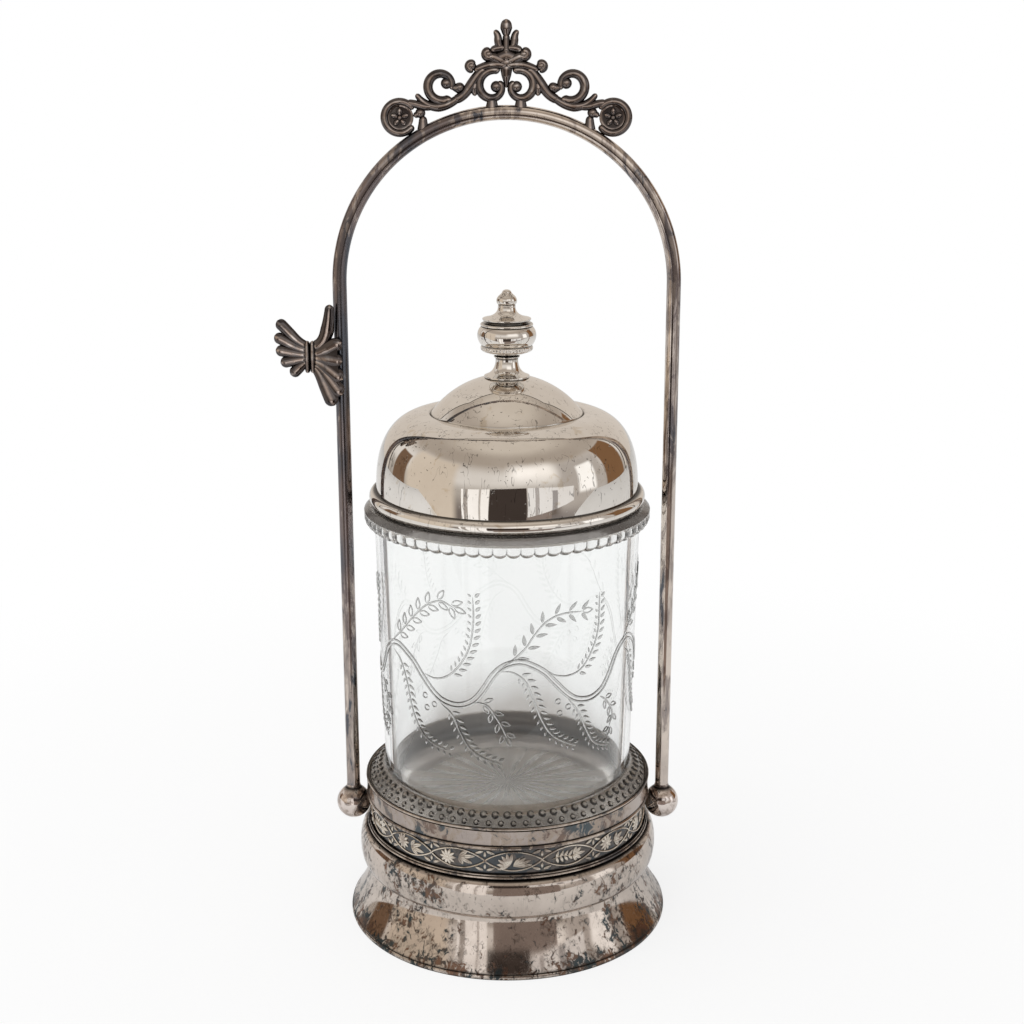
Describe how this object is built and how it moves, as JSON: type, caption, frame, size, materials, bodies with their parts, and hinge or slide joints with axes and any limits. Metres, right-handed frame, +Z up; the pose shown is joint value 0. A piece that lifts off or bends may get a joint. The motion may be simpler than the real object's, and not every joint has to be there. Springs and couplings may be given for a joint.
{
  "type": "pickle castor",
  "caption": "Plated table stand with a swinging arched bail handle, a clear etched glass jar and a lift-off domed lid with a finial.",
  "frame": {"origin": "middle of the foot, on the surface it stands on", "axes": "+Z up through the jar and the finial, X along the handle's pivots with the tongs hook on the -X arm, front towards -Y"},
  "size_m": [0.1323, 0.108, 0.2942],
  "materials": {
    "silver_plate": "worn polished silver plate, tarnished in patches",
    "oxidised_casting": "oxidised in the hollows, polished on the high spots",
    "tarnished_rod": "dark tarnish with brassy wear",
    "brass_fittings": "plain turned brass",
    "clear_glass": "clear pressed glass with etched ornament"
  },
  "bodies": {
    "frame": {"foot_wire": "silver_plate", "foot_skirt": "silver_plate", "moulding": "silver_plate", "drum": "oxidised_casting", "drum_wire_low": "silver_plate", "drum_wire_high": "silver_plate", "collar": "silver_plate", "collar_wire": "silver_plate", "cup_floor": "silver_plate", "left_boss": "oxidised_casting", "right_boss": "oxidised_casting", "left_pin": "brass_fittings", "right_pin": "brass_fittings"},
    "handle": {"bail_rod": "tarnished_rod", "left_ball": "tarnished_rod", "right_ball": "tarnished_rod", "crest": "oxidised_casting", "tongs_hook": "oxidised_casting"},
    "jar": {"glass_jar": "clear_glass"},
    "lid": {"lid_shell": "silver_plate", "lid_roll": "silver_plate", "lid_liner": "silver_plate", "finial_foot": "silver_plate", "finial_bulb": "silver_plate", "finial_cap": "silver_plate", "finial_stud": "brass_fittings", "finial_washer": "brass_fittings", "finial_nut": "brass_fittings"}
  },
  "joints": [
    {"name": "handle_swing", "type": "hinge", "parent": "frame", "child": "handle", "pos_m": [0, 0, 0.0373], "axis": [1, 0, 0], "range_deg": [-95, 95]},
    {"name": "jar_lift", "type": "slide", "parent": "frame", "child": "jar", "axis": [0, 0, 1], "range_m": [0, 0.018]},
    {"name": "lid_lift", "type": "slide", "parent": "jar", "child": "lid", "axis": [0, 0, 1], "range_m": [0, 0.032]}
  ]
}
